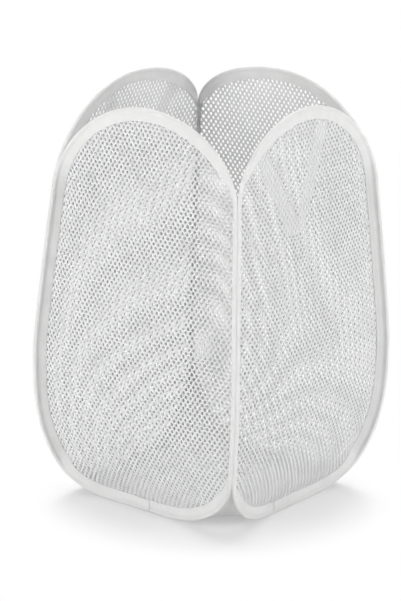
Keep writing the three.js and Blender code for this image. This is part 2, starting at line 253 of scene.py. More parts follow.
# Cloths: darkest and lightest grey, roughness, the threads' pitches and relief, sheen, share let through
MATERIALS = {
    "tape": fabric("binding_tape", 0.83, 0.90, 0.5, (0.0009, 0.0006), 0.00008, 0.15, 0.2),
    "net": net_yarn(),
    "cloth": fabric("floor_cloth_weave", 0.82, 0.88, 0.75, (0.0008, 0.0008), 0.00012, 0.0, 0.15),
    "webbing": fabric("webbing_weave", 0.86, 0.92, 0.6, (0.0021, 0.0016), 0.0003, 0.1, 0.5),
    "thread": fabric("sewing_thread", 0.86, 0.93, 0.45, (0.0007, 0.0009), 0.00008, uses_cut=False),
    "steel": steel(),
}


# ---- meshes
def make_mesh(name, points, faces, material, cut=None):
    """A mesh with outward faces, from arrays of faces with one count of corners each.

    cut has each point's place on the flat cloth, in metres.
    """
    volume = 0.0
    for part in faces:
        first = points[part[:, 0]]
        for k in range(1, part.shape[1] - 1):
            volume += float((first * np.cross(points[part[:, k]], points[part[:, k + 1]])).sum())
    if volume < 0:
        faces = [part[:, ::-1] for part in faces]
    data = bpy.data.meshes.new(name)
    data.from_pydata(points.tolist(), [], [face for part in faces for face in part.tolist()])
    data.validate()
    data.shade_smooth()
    if cut is not None:
        layer = data.uv_layers.new(name="cut")
        order = np.zeros(len(data.loops), np.int32)
        data.loops.foreach_get("vertex_index", order)
        layer.data.foreach_set("uv", np.asarray(cut, np.float32)[order].ravel())
    data.materials.append(MATERIALS[material])
    return add_object(name, data)


def grid_faces(rows, columns, loop_rows=False, loop_columns=False):
    """Quads between the points of a grid, stored row by row."""
    row = np.arange(rows if loop_rows else rows - 1)
    column = np.arange(columns if loop_columns else columns - 1)
    r, c = np.meshgrid(row, column, indexing="ij")
    r2, c2 = (r + 1) % rows, (c + 1) % columns
    corners = [r * columns + c, r * columns + c2, r2 * columns + c2, r2 * columns + c]
    return np.stack(corners, -1).reshape(-1, 4)


def tube(rings, sides):
    """The faces of a tube of rings, closed at both ends."""
    ring = np.arange(sides)
    return [grid_faces(rings, sides, False, True), np.array([ring[::-1], (rings - 1) * sides + ring])]


def turned(points, quarters):
    """Points turned about the upright middle line by quarter turns."""
    for _ in range(quarters):
        points = np.stack([-points[..., 1], points[..., 0], points[..., 2]], -1)
    return points


def normalised(vectors):
    return vectors / np.linalg.norm(vectors, axis=-1, keepdims=True)


def smoothstep(value, low, high):
    share = np.clip((value - low) / (high - low), 0, 1)
    return share * share * (3 - 2 * share)


def between(first, last, share):
    return first * (1 - share) + last * share


def grid_normals(grid):
    """A direction square to a grid of points at each of them."""
    return normalised(np.cross(np.gradient(grid, axis=1), np.gradient(grid, axis=0)))


def run_lengths(points):
    """How far along a run of points each of them is."""
    return np.concatenate([[0], np.cumsum(np.linalg.norm(np.diff(points, axis=0), axis=1))])


def cut_grid(along, across):
    """The flat places of a grid of points, stored row by row."""
    return np.stack([np.repeat(along, len(across)), np.tile(across, len(along))], 1)


def closed_sheet(name, middle, normal, thickness, layer, quarters, material, cut=None):
    """A sheet of even thickness from one layer of face arrays, with walls along every open edge."""
    middle, normal = middle.reshape(-1, 3), normal.reshape(-1, 3)
    count = len(middle)
    edges = np.concatenate([
        np.stack([part[:, k], part[:, (k + 1) % part.shape[1]]], 1)
        for part in layer for k in range(part.shape[1])
    ])
    key = np.sort(edges, 1)
    _, first, uses = np.unique(key[:, 0] * count + key[:, 1], return_index=True, return_counts=True)
    rim = edges[first[uses == 1]]
    walls = np.stack([rim[:, 1], rim[:, 0], rim[:, 0] + count, rim[:, 1] + count], 1)
    points = np.concatenate([middle + normal * thickness / 2, middle - normal * thickness / 2])
    faces = [walls] + [np.concatenate([part, part[:, ::-1] + count]) for part in layer]
    if cut is not None:
        cut = np.concatenate([cut, cut])
    return make_mesh(name, turned(points, quarters), faces, material, cut)


# ---- hoops
HOOP_SAMPLES = 3200
EDGE_BLUR = 0.0025
SEAM_BLUR = 0.007
# Where a tape's spread share passes from free to sewn, and how far it leans to its neighbour there
SEWN = (0.55, 0.98)
SEAM_LEAN = 0.00165
LEAN_DEPTHS = (0.0045, 0.0095)
# A sewn tape's head: the radii of its skin round the wire, its side and its depths
HEAD_SKIN = (0.0025, 0.0028)
HEAD_SIDE = (0.0, 0.0010)
HEAD_DEPTHS = (0.0030, 0.0060)


def half_width(z):
    below = np.clip((WIDE_Z - z) / WIDE_Z, 0, None)
    above = np.clip((z - WIDE_Z) / (HEIGHT - WIDE_Z), 0, 1)
    lower = (WIDE_HALF - FLOOR_HALF) * below**LOWER_POWER
    return WIDE_HALF - lower - (WIDE_HALF - TOP_HALF) * above**UPPER_POWER


def lean_at(z):
    """How much a panel leans in as it rises: its slope above its widest place."""
    rise = HEIGHT - WIDE_Z
    above = np.clip((z - WIDE_Z) / rise, 1e-6, 1)
    return (WIDE_HALF - TOP_HALF) * UPPER_POWER * above ** (UPPER_POWER - 1) / rise


def outline_side(corner):
    """Half a hoop from the floor run to the top.

    Columns: across, height, the way out as a pair, seam share, spread share, lean.
    """
    seam_top, foot_width, foot_height = corner
    angle = np.linspace(0, math.pi / 2, 161)
    sin, cos = np.sin(angle), np.cos(angle)
    z = foot_height * (1 - cos)
    across = half_width(z) - foot_width * (1 - sin)
    foot = np.stack([across, z, sin / foot_width, -cos / foot_height, (1 - cos) ** 2, 1 - cos, 0 * z], 1)
    z = np.linspace(foot_height, seam_top, 242)[1:-1]
    one = np.ones_like(z)
    seam = np.stack([half_width(z), z, one, 0 * one, one, one, 0 * one], 1)
    angle = np.linspace(0, math.pi / 2, 321)
    sin, cos = np.sin(angle), np.cos(angle)
    rise = HEIGHT - seam_top
    z = seam_top + rise * sin
    half = half_width(z)
    arc = np.stack([half * cos, z, cos / half, sin / rise, (1 - sin) ** 2, 1 - sin, lean_at(z) * sin], 1)
    side = np.concatenate([foot, seam, arc])
    side[:, 2:4] = normalised(side[:, 2:4])
    return side


def round_the_loop(values, spread):
    """Each column smoothed round a closed loop, by a bell of that many samples."""
    reach = int(spread * 4)
    bell = np.exp(-0.5 * (np.arange(-reach, reach + 1) / spread) ** 2)
    bell /= bell.sum()
    padded = np.concatenate([values[-reach:], values, values[:reach]])
    return np.stack([np.convolve(column, bell, "valid") for column in padded.T], 1)


class Hoop:
    """A panel's outline at even steps: where its outer edge is, the way in and the way out of the face."""

    def __init__(self, left, right):
        left_side = outline_side(left)[:-1][::-1] * np.array([-1, 1, -1, 1, 1, 1, 1])
        loop = np.concatenate([outline_side(right), left_side])
        loop = np.concatenate([loop, loop[:1]])
        run = run_lengths(np.stack([loop[:, 0], -half_width(loop[:, 1]), loop[:, 1]], 1))
        self.length = run[-1]
        step = self.length / HOOP_SAMPLES
        self.s = np.arange(HOOP_SAMPLES) * self.length / HOOP_SAMPLES
        even = np.stack([np.interp(self.s, run, column) for column in loop.T], 1)
        even[:, :2] = round_the_loop(even[:, :2], EDGE_BLUR / step)
        even[:, 1] = np.maximum(even[:, 1], 0)
        even[:, 2:] = round_the_loop(even[:, 2:], SEAM_BLUR / step)
        self.spread = even[:, 5]
        edge = np.stack([even[:, 0], -half_width(even[:, 1]), even[:, 1]], 1)
        self.tangent = normalised(np.roll(edge, -1, 0) - np.roll(edge, 1, 0))
        out = normalised(even[:, 2:4])
        inward = np.stack([-out[:, 0], even[:, 4] - even[:, 6] * out[:, 1], -out[:, 1]], 1)
        face = normalised(np.cross(self.tangent, inward))
        self.face = face * np.where(face[:, 1:2] > 0, -1, 1)
        depth = normalised(np.cross(self.face, self.tangent))
        self.depth = depth * np.where((depth * inward).sum(1, keepdims=True) < 0, -1, 1)
        self.origin = edge + self.face * (SEAM_SET * self.spread)[:, None]

    def at(self, s):
        """Origin, depth, face and spread at places along the loop."""
        place = np.mod(s, self.length) / self.length * HOOP_SAMPLES
        low = np.floor(place).astype(int) % HOOP_SAMPLES
        high = (low + 1) % HOOP_SAMPLES
        share = (place - np.floor(place))[:, None]
        origin, depth, face, spread = (
            between(values[low], values[high], share)
            for values in (self.origin, self.depth, self.face, self.spread[:, None])
        )
        return origin, normalised(depth), normalised(face), spread[:, 0]

    def points(self, s, in_depth, across):
        """Points at places along the loop, so far in and across, pressed to the neighbour at a seam."""
        origin, depth, face, spread = self.at(s)
        in_depth, across = squared(in_depth, across, spread)
        across = across - pressed(in_depth, spread)
        return origin + depth * in_depth[:, None] + face * across[:, None]

    def ring(self, count, in_depth):
        """Points at even steps round the loop, so far in."""
        return self.points(np.arange(count) * self.length / count, in_depth, 0.0)


def squared(in_depth, across, spread):
    """At a seam the side of a tape's head that meets the neighbour's is pressed square, to make one ridge."""
    skin = smoothstep(np.hypot(in_depth - WIRE_DEPTH, across), *HEAD_SKIN)
    head = smoothstep(-across, *HEAD_SIDE) * (1 - smoothstep(in_depth, *HEAD_DEPTHS))
    push = smoothstep(spread, *SEWN) * head * skin
    room = np.maximum(SEAM_SET - 0.00006 + across, 0)
    return in_depth * (1 - 0.6 * push), across - 0.9 * push * room


def pressed(in_depth, spread):
    """How far a tape leans to its neighbour's behind the wire, where the two are sewn together."""
    return SEAM_LEAN * smoothstep(in_depth, *LEAN_DEPTHS) * smoothstep(spread, *SEWN)


HOOPS = {name: Hoop(left, right) for name, _, left, right in PANELS}


# ---- bindings
# A tape's folded section in mm: depth from the outer edge, and height off its middle
OUTER_SECTION = [
    (19.0, 0.95), (18.75, 1.28), (18.0, 1.42), (16.9, 1.36), (15.2, 1.55), (12.5, 1.74), (9.5, 1.85),
    (7.7, 1.82), (6.6, 1.70), (5.6, 2.2), (4.5, 2.7), (3.2, 2.9), (1.9, 2.72), (0.85, 2.1), (0.48, 1.65),
    (0.2, 1.1), (0.1, 0.8), (0.0, 0.0),
]
INNER_SECTION = [
    (19.0, 0.5), (15.0, 0.52), (9.0, 0.6), (6.8, 0.8), (5.6, 1.35), (4.3, 1.95), (2.9, 2.1), (1.6, 1.7),
    (0.9, 0.9), (0.8, 0.0),
]
TAPE_STATIONS = 560
TAPE_WANDER = 0.00035
TAPE_SWELL = 0.10
PUCKER = 0.035
PUCKER_PITCH = 0.0064
PUCKER_REACH = 0.0016
# Rows of stitches on a tape: how deep in, and how far off its middle
TAPE_ROWS = ((TUNNEL_STITCH, 0.0017), (EDGE_STITCH, 0.00138))
SEAM_ROW = (0.0112, 0.00178)
# Stitches: their pitch, length and radius
STITCHES = {
    "binding": (0.0032, 0.0025, 0.00024),
    "lap": (0.0030, 0.0023, 0.00024),
    "seam": (0.0040, 0.0031, 0.00028),
    "floor": (0.0042, 0.0032, 0.00024),
    "box": (0.0024, 0.0019, 0.00026),
}
# The rings of thread along a stitch: place, and thickness
STITCH_RINGS = np.array([(-0.5, 0.15), (-0.3, 1.0), (0.3, 1.0), (0.5, 0.15)])


def tape_wave(s, length, seed):
    """A slow uneven wave along a tape, between about -1 and 1."""
    total = np.zeros_like(s)
    draws = np.random.default_rng(seed)
    for turns, size in ((5, 0.35), (11, 0.3), (23, 0.2), (47, 0.15)):
        total += size * np.sin(math.tau * turns * s / length + draws.uniform(0, math.tau))
    return total


def binding(name, quarters):
    """The folded tape round the hoop: its edge wanders, the cloth swells and puckers between its stitches."""
    hoop = HOOPS[name]
    outer = OUTER_SECTION + [(d, -a) for d, a in OUTER_SECTION[-2::-1]]
    inner = [(d, -a) for d, a in INNER_SECTION] + [(d, a) for d, a in INNER_SECTION[-2::-1]]
    section = np.array(outer + inner) * MM
    count = len(section)
    s = np.arange(TAPE_STATIONS) * hoop.length / TAPE_STATIONS
    along = np.repeat(s, count)
    in_depth, across = np.tile(section, (TAPE_STATIONS, 1)).T
    wander = TAPE_WANDER * tape_wave(along, hoop.length, 40 + quarters)
    in_depth = in_depth + smoothstep(in_depth, 0.006, BINDING_WIDTH) * wander
    swell = TAPE_SWELL * tape_wave(along + 0.03, hoop.length * 0.37, 47 + quarters)
    share = np.clip((in_depth - TUNNEL_STITCH) / (EDGE_STITCH - TUNNEL_STITCH), 0, 1)
    across = across * (1 + np.sin(share * math.pi) * swell)
    near_stitches = np.exp(-(((in_depth - TUNNEL_STITCH) / PUCKER_REACH) ** 2))
    across = across * (1 + PUCKER * np.sin(math.tau * along / PUCKER_PITCH) * near_stitches)
    points = hoop.points(along, in_depth, across)
    points[:, 2] = np.maximum(points[:, 2], 0)
    faces = [grid_faces(TAPE_STATIONS, count, True, True)]
    cut = cut_grid(s, np.linspace(0, 0.08, count))
    return make_mesh(f"{name}_binding_tape", turned(points, quarters), faces, "tape", cut)


def sew(name, kind, runs, quarters):
    """Rows of short thread stitches. Each run has its points on the cloth and the directions out of it."""
    pitch, length, radius = STITCHES[kind]
    size = radius * STITCH_RINGS[:, 1, None, None]
    turn = (np.arange(4) * math.pi / 2)[:, None]
    made = []
    for points, normals in runs:
        along = run_lengths(points)
        count = max(1, int(along[-1] / pitch))
        place = (np.arange(count) + 0.5)[:, None] * along[-1] / count + STITCH_RINGS[:, 0] * length
        middle, up, way = (
            np.stack([np.interp(place, along, column) for column in values.T], -1)[:, :, None]
            for values in (points, normals, normalised(np.gradient(points, axis=0)))
        )
        up = normalised(up)
        side = normalised(np.cross(up, way))
        made.append(middle + up * size * (0.55 + np.sin(turn)) + side * size * np.cos(turn))
    made = np.concatenate(made).reshape(-1, 3)
    first = np.arange(0, len(made), 16)[:, None]
    faces = np.concatenate([quad + first for quad in np.concatenate(tube(4, 4))])
    made[:, 2] = np.maximum(made[:, 2], 0)
    return make_mesh(name, turned(made, quarters), [faces], "thread")


def tape_row(hoop, in_depth, height, side, first, last):
    """A run along one side of a tape, so deep in and so far off its middle."""
    s = np.linspace(first, last, max(8, int((last - first) / 0.0012)))
    return hoop.points(s, in_depth, side * height), hoop.at(s)[2] * side


# ---- net panels
NET_PITCH = 0.0080
NET_ROW = 0.0058
NET_THICKNESS = 0.0006
NET_TUCK = 0.0095
# The net's lattice reaches this high, and this many columns to either side
NET_TOP = 0.615
NET_COLUMNS = 25
NET_RIPPLE = 0.0022
NET_SAMPLES = 2400
NORMAL_STEP = 0.0015
HOLE_HALF_WIDTH = 0.0020
HOLE_HALF_HEIGHT = 0.0026
# The faces of a cell: quads between two of its six corners and two of its hole's eight, and its triangles
CELL_QUADS = [(5, 0, 0, 7), (0, 1, 1, 0), (1, 2, 3, 2), (2, 3, 4, 3), (3, 4, 5, 4), (4, 5, 7, 6)]
CELL_TRIS = [(1, 2, 1), (4, 6, 5)]
RELAX_HALF = 0.19
RELAX_SAMPLES = 900
RELAX_STEP = 0.005
RELAX_REACH = 0.060
RELAX_ROUNDS = 900


def relaxed_set(hoop):
    """How far the net stands in from the panel's curve, over a grid: fixed by the tape, it fades inside."""
    mouth = hoop.ring(RELAX_SAMPLES, BINDING_WIDTH)
    xs = np.arange(-RELAX_HALF, RELAX_HALF + 1e-4, RELAX_STEP)
    zs = np.arange(0.0, NET_TOP + 1e-4, RELAX_STEP)
    grid_x, grid_z = np.meshgrid(xs, zs)
    nodes = np.stack([grid_x.ravel(), grid_z.ravel()], 1)
    inside = inside_loop(nodes, mouth[:, [0, 2]]).reshape(grid_x.shape)
    near, _ = nearest(nodes, mouth[:, [0, 2]])
    fixed = (mouth[:, 1] + half_width(mouth[:, 2]))[near].reshape(grid_x.shape)
    value = np.where(inside, 0.0, fixed)
    for _ in range(RELAX_ROUNDS):
        total = sum(np.roll(value, way, axis) for axis in (0, 1) for way in (1, -1))
        value = np.where(inside, total / (4 + (RELAX_STEP / RELAX_REACH) ** 2), value)
    return xs, zs, value


def inside_loop(points, loop):
    """Whether each point is inside a closed flat loop."""
    x, z = points.T
    result = np.zeros(len(points), bool)
    for (ax, az), (bx, bz) in zip(loop, np.roll(loop, -1, 0)):
        crosses = (az > z) != (bz > z)
        if crosses.any():
            result ^= crosses & (x < ax + (z - az) * (bx - ax) / (bz - az))
    return result


def nearest(points, loop):
    """The nearest sample of a loop to each point, and its distance."""
    index = np.zeros(len(points), int)
    gap = np.zeros(len(points))
    for start in range(0, len(points), 4000):
        part = slice(start, start + 4000)
        distance = ((points[part, None] - loop) ** 2).sum(2)
        index[part], gap[part] = distance.argmin(1), np.sqrt(distance.min(1))
    return index, gap


def grid_value(xs, zs, value, x, z):
    """A grid's value at places between its points."""
    fx = np.clip((x - xs[0]) / RELAX_STEP, 0, len(xs) - 1.001)
    fz = np.clip((z - zs[0]) / RELAX_STEP, 0, len(zs) - 1.001)
    ix, iz = fx.astype(int), fz.astype(int)
    low = between(value[iz, ix], value[iz, ix + 1], fx - ix)
    high = between(value[iz + 1, ix], value[iz + 1, ix + 1], fx - ix)
    return between(low, high, fz - iz)


def net_surface(hoop, seed):
    """A function from flat places (across, height) to points of the net's middle, and its tucked outline."""
    mouth, tuck = hoop.ring(NET_SAMPLES, BINDING_WIDTH), hoop.ring(NET_SAMPLES, NET_TUCK)
    flat_mouth, flat_tuck = mouth[:, [0, 2]], tuck[:, [0, 2]]
    grid = relaxed_set(hoop)
    edge_set = mouth[:, 1] + half_width(mouth[:, 2])
    band = np.maximum(np.linalg.norm(flat_tuck - flat_mouth, axis=1), 1e-6)
    ways = normalised(np.roll(mouth, -1, 0) - np.roll(mouth, 1, 0))
    draws = np.random.default_rng(seed)
    waves = [(*draws.uniform(9, 22, 2), *draws.uniform(0, 6.3, 2)) for _ in range(6)]

    def surface(flat):
        x, z = flat.T
        near, gap = nearest(flat, flat_mouth)
        held = between(grid_value(*grid, x, z), edge_set[near], 1 - smoothstep(gap, 0.0, 0.010))
        ripple = sum(np.sin(a * x * 2 + p) * np.sin(b * z + q) for a, b, p, q in waves) / len(waves)
        y = held - half_width(z) + NET_RIPPLE * ripple * smoothstep(gap, 0.0, 0.05)
        made = np.stack([x, y, z], 1)
        strip = between(mouth[near], tuck[near], np.clip(gap / band[near], 0, 1.3)[:, None])
        along = ((made - mouth[near]) * ways[near]).sum(1, keepdims=True)
        return np.where(inside_loop(flat, flat_mouth)[:, None], made, strip + ways[near] * along)

    return surface, flat_tuck


def net(name, quarters):
    """The net as one sheet of hexagonal cells, each round a tall hole, tucked into its tape all round."""
    surface, flat_tuck = net_surface(HOOPS[name], 11 + quarters)
    columns = np.arange(-NET_COLUMNS, NET_COLUMNS + 1)
    r, c = np.meshgrid(np.arange(int(NET_TOP / NET_ROW) + 1), columns, indexing="ij")
    centre = np.stack([(c + 0.5 * (r % 2)) * NET_PITCH, (r + 0.5) * NET_ROW], -1).reshape(-1, 2)
    centre = centre[inside_loop(centre, flat_tuck)][:, None]
    half = NET_PITCH / 2
    high = (NET_ROW**2 + half**2) / (2 * NET_ROW)
    low = NET_ROW - high
    corners = np.array([(half, low), (0, high), (-half, low), (-half, -low), (0, -high), (half, -low)])
    angle = (np.arange(8) + 0.5) * math.pi / 4
    hole = np.stack([np.cos(angle) * HOLE_HALF_WIDTH, np.sin(angle) * HOLE_HALF_HEIGHT], 1)
    hole = hole / math.cos(math.pi / 8) ** 0.5
    outer = (centre + corners).reshape(-1, 2)
    keys = np.round(outer / (NET_ROW / 40)).astype(int)
    _, first, same = np.unique(keys, axis=0, return_index=True, return_inverse=True)
    draws = np.random.default_rng(3 + quarters)
    inner = (centre + hole * draws.uniform(0.93, 1.07, (len(centre), 1, 2))).reshape(-1, 2)
    flat = np.concatenate([outer[first], inner])
    flat = flat + lattice_drift(flat, 21 + quarters)
    middle = surface(flat)
    o = same.reshape(-1, 6)
    i = len(first) + np.arange(len(inner)).reshape(-1, 8)
    quads = np.concatenate([np.stack([o[:, a], o[:, b], i[:, c], i[:, d]], 1) for a, b, c, d in CELL_QUADS])
    tris = np.concatenate([np.stack([o[:, a], i[:, b], i[:, c]], 1) for a, b, c in CELL_TRIS])
    dx, dz = (surface(flat + np.array(step)) - middle for step in ((NORMAL_STEP, 0), (0, NORMAL_STEP)))
    normal = normalised(np.cross(dx, dz))
    return closed_sheet(f"{name}_net", middle, normal, NET_THICKNESS, [quads, tris], quarters, "net")


def lattice_drift(flat, seed):
    """How the knitted rows wander from a true lattice."""
    draws = np.random.default_rng(seed)
    drift = np.zeros_like(flat)
    for _ in range(5):
        ax, az = draws.uniform(6, 22, 2)
        p, q = draws.uniform(0, 6.3, 2)
        size = draws.uniform(0.0002, 0.0006)
        drift[:, 0] += size * np.sin(ax * flat[:, 1] + p)
        drift[:, 1] += size * np.sin(az * flat[:, 0] + q)
    return drift


# ---- wires and sleeves
WIRE_RADIUS = 0.001
WIRE_SIDES = 10
WIRE_END = 0.0006
LAP_PLACE = -0.013
SLEEVE_HALF = 0.014
SLEEVE_SIDES = 20
SLEEVE_RADII = (0.00165, 0.00118)
SLEEVE_PINCHES = (-0.0095, -0.0045, 0.0045, 0.0095)


def wire(name, quarters):
    """The sprung wire: a round rod once round the hoop, from one side of its joint to the other."""
    hoop = HOOPS[name]
    joint = np.mod(LAP_PLACE - hoop.origin[0, 0], hoop.length)
    s = joint + np.linspace(WIRE_END, hoop.length - WIRE_END, 420)
    points = np.stack([
        hoop.points(s, WIRE_DEPTH + WIRE_RADIUS * math.cos(turn), WIRE_RADIUS * math.sin(turn))
        for turn in np.arange(WIRE_SIDES) * math.tau / WIRE_SIDES
    ], 1).reshape(-1, 3)
    return make_mesh(f"{name}_wire", turned(points, quarters), tube(len(s), WIRE_SIDES), "steel")


def sleeve(name, quarters):
    """The crimped tube over the wire's two ends, pinched flat at four places."""
    along = np.linspace(-SLEEVE_HALF, SLEEVE_HALF, 57)
    pinch = sum(np.exp(-(((along - place) / 0.0011) ** 2)) for place in SLEEVE_PINCHES)
    flare = smoothstep(np.abs(along), SLEEVE_HALF - 0.001, SLEEVE_HALF) * 0.00015
    turn = np.arange(SLEEVE_SIDES) * math.tau / SLEEVE_SIDES

    def out_and_back(outside, inside):
        return np.concatenate([outside, inside[::-1]])[:, None]

    radius = out_and_back(SLEEVE_RADII[0] - flare, SLEEVE_RADII[1] + flare)
    squeeze = out_and_back(pinch * 0.00042, pinch * 0.00012)
    wide = out_and_back(pinch * 0.0002, pinch * 0.00004)
    rings = np.stack([
        LAP_PLACE + out_and_back(along, along) + 0 * turn,
        -FLOOR_HALF + (radius + wide) * np.cos(turn),
        WIRE_DEPTH + (radius - squeeze) * np.sin(turn),
    ], -1)
    faces = [grid_faces(len(rings), SLEEVE_SIDES, True, True)]
    return make_mesh(f"{name}_crimped_sleeve", turned(rings.reshape(-1, 3), quarters), faces, "steel")


# ---- laps
LAP_HALF = 0.012
LAP_CLOTH = 0.0007
LAP_LIFT = 0.00052
LAP_FOLD = 0.00035


def lap(name, quarters):
    """The end of the binding tape, folded under and sewn over its start on the floor run by two rows."""
    across = np.linspace(-LAP_HALF, LAP_HALF, 33)
    outline = np.array([(d, a) for d, a in OUTER_SECTION if 1.5 < d < 18.9]) * MM
    run = run_lengths(outline)
    fine = np.linspace(0, run[-1], 26)
    d, a = (np.interp(fine, run, column) for column in outline.T)
    fold = LAP_FOLD * smoothstep(np.abs(across), LAP_HALF - 0.0042, LAP_HALF - 0.0022)[:, None]
    lift = LAP_LIFT + fold + 0.00010 * np.sin(across[:, None] * 900) * np.sin(d * 500)
    grid = np.stack([(LAP_PLACE + across)[:, None] + 0 * d, -(FLOOR_HALF + a + lift), d + 0 * lift], -1)
    normals = grid_normals(grid)
    made = closed_sheet(f"{name}_tape_lap", grid, normals, LAP_CLOTH, [grid_faces(*lift.shape)], quarters,
                        "tape", cut_grid(across, fine))
    out = normals * np.where(normals[..., 1:2] > 0, -1, 1)
    rows = [(grid[k] + out[k] * LAP_CLOTH / 2, out[k]) for k in (3, len(across) - 4)]
    return made, sew(f"{name}_lap_stitches", "lap", rows, quarters)


# ---- corners
CLOTH_THICKNESS = 0.0009
# How far across each gusset starts on its floor run
GUSSET_START = {"front": 0.0485, "right": 0.1010, "back": 0.0485, "left": 0.1010}
# Where a gusset is sewn to a tape: how deep in, and how far off its middle
GUSSET_SEW = (0.0050, -0.0029)
GUSSET_ROWS = 46
# A gusset's bulge and folds as shares of the gap it spans, and how high its foot arches
GUSSET_BULGE = 0.020
GUSSET_FOLDS = 0.012
GUSSET_ARCH = 0.0025
OUTWARD = np.array([1, -1, 0]) / math.sqrt(2)


def gusset_grid(name, quarters, corner):
    """The cloth between a panel's right foot and its neighbour's, in the panel's axes: rows up the foot."""
    hoop = HOOPS[name]
    foot = hoop.s[(hoop.s < hoop.length / 2) & (hoop.origin[:, 2] < corner[2])]
    first = foot[hoop.origin[: len(foot), 0] > GUSSET_START[name]][0]
    edge = hoop.points(np.linspace(first, foot[-1] - 0.0015, GUSSET_ROWS), *GUSSET_SEW)
    other = np.stack([-edge[:, 1], -edge[:, 0], edge[:, 2]], 1)
    gap = np.linalg.norm(other - edge, axis=1)[:, None]
    v = np.linspace(0, 1, GUSSET_ROWS)
    rise = smoothstep(edge[:, 2], 0.0, 0.03)[:, None]
    draws = np.random.default_rng(60 + quarters)
    folds = sum(
        size * np.sin(math.tau * turns * v + draws.uniform(0, 6.3) + 0.9 * rise)
        for turns, size in ((1.5, 0.45), (2.5, 0.5), (4.0, 0.35), (6.5, 0.14))
    )
    arch = 1 - (2 * v - 1) ** 2
    folds = GUSSET_FOLDS * folds * np.sin(math.pi * v) ** 0.6 * (0.4 + 0.6 * rise)
    bulge = gap * (GUSSET_BULGE * arch + folds)
    grid = between(edge[:, None], other[:, None], v[:, None]) + OUTWARD * bulge[..., None]
    grid[..., 2] += GUSSET_ARCH * arch * (1 - rise)
    return grid


def gusset(name, quarters, corner):
    """The cloth that closes a corner's foot, from tape to tape."""
    grid = gusset_grid(name, quarters, corner)
    normals = grid_normals(grid)
    u = np.linspace(0, np.linalg.norm(grid[0, -1] - grid[0, 0]), GUSSET_ROWS)
    cut = cut_grid(run_lengths(grid[:, GUSSET_ROWS // 2]), u)[:, ::-1]
    grid[..., 2] = np.maximum(grid[..., 2], 0.0003)
    return closed_sheet(f"{name}_foot_gusset", grid, normals, CLOTH_THICKNESS,
                        [grid_faces(GUSSET_ROWS, GUSSET_ROWS)], quarters, "cloth", cut)


def seam_sewing(name, quarters, corner, side, label):
    """The seam's own stitches where they show on a tape, along its right side (1) or its left (-1)."""
    hoop = HOOPS[name]
    across, height = hoop.origin[:, 0], hoop.origin[:, 2]
    here = hoop.s[(height >= corner[2]) & (height <= corner[0]) & (across * side > 0.05)]
    row = tape_row(hoop, *SEAM_ROW, 1, here.min(), here.max())
    return sew(label, "seam", [row], quarters)


# ---- floor
FLOOR_SET = 0.0036
FLOOR_TUCK = 0.0011
FLOOR_RAMP = 0.022
FLOOR_CREASE = 0.0016
FLOOR_SWELL = 0.0006
FLOOR_THICKNESS = CLOTH_THICKNESS * 0.8
# The border's turn-up: how far out and how high each of its rows is
TURN_UP = ((0.00010, 0.0016), (0.00030, 0.0030), (0.0006, 0.0050), (0.0012, 0.0076), (0.00125, 0.0102))


def floor_edge():
    """The floor cloth's outline along tapes and gussets: points, their height, 1 where it is straight."""
    cuts = [
        turned(gusset_grid(name, quarters, right)[0] - OUTWARD * FLOOR_TUCK, quarters)
        for name, quarters, _, right in PANELS
    ]
    share = np.linspace(0, 1, 62)[1:-1, None]
    points, straight = [], []
    for k, cut in enumerate(cuts):
        start, end = cuts[k - 1][-1], cut[0]
        run = between(start, end, share)
        rise = smoothstep(np.abs(share - np.array([0, 1])) * np.linalg.norm(end - start), FLOOR_RAMP, 0.0)
        run[:, 2] = rise[:, 0] * start[2] + rise[:, 1] * end[2]
        points += [run, cut]
        straight += [np.ones(len(run)), np.zeros(len(cut))]
    points = np.concatenate(points)
    limit = FLOOR_HALF - FLOOR_SET
    return np.clip(points[:, :2], -limit, limit), points[:, 2], np.concatenate(straight)


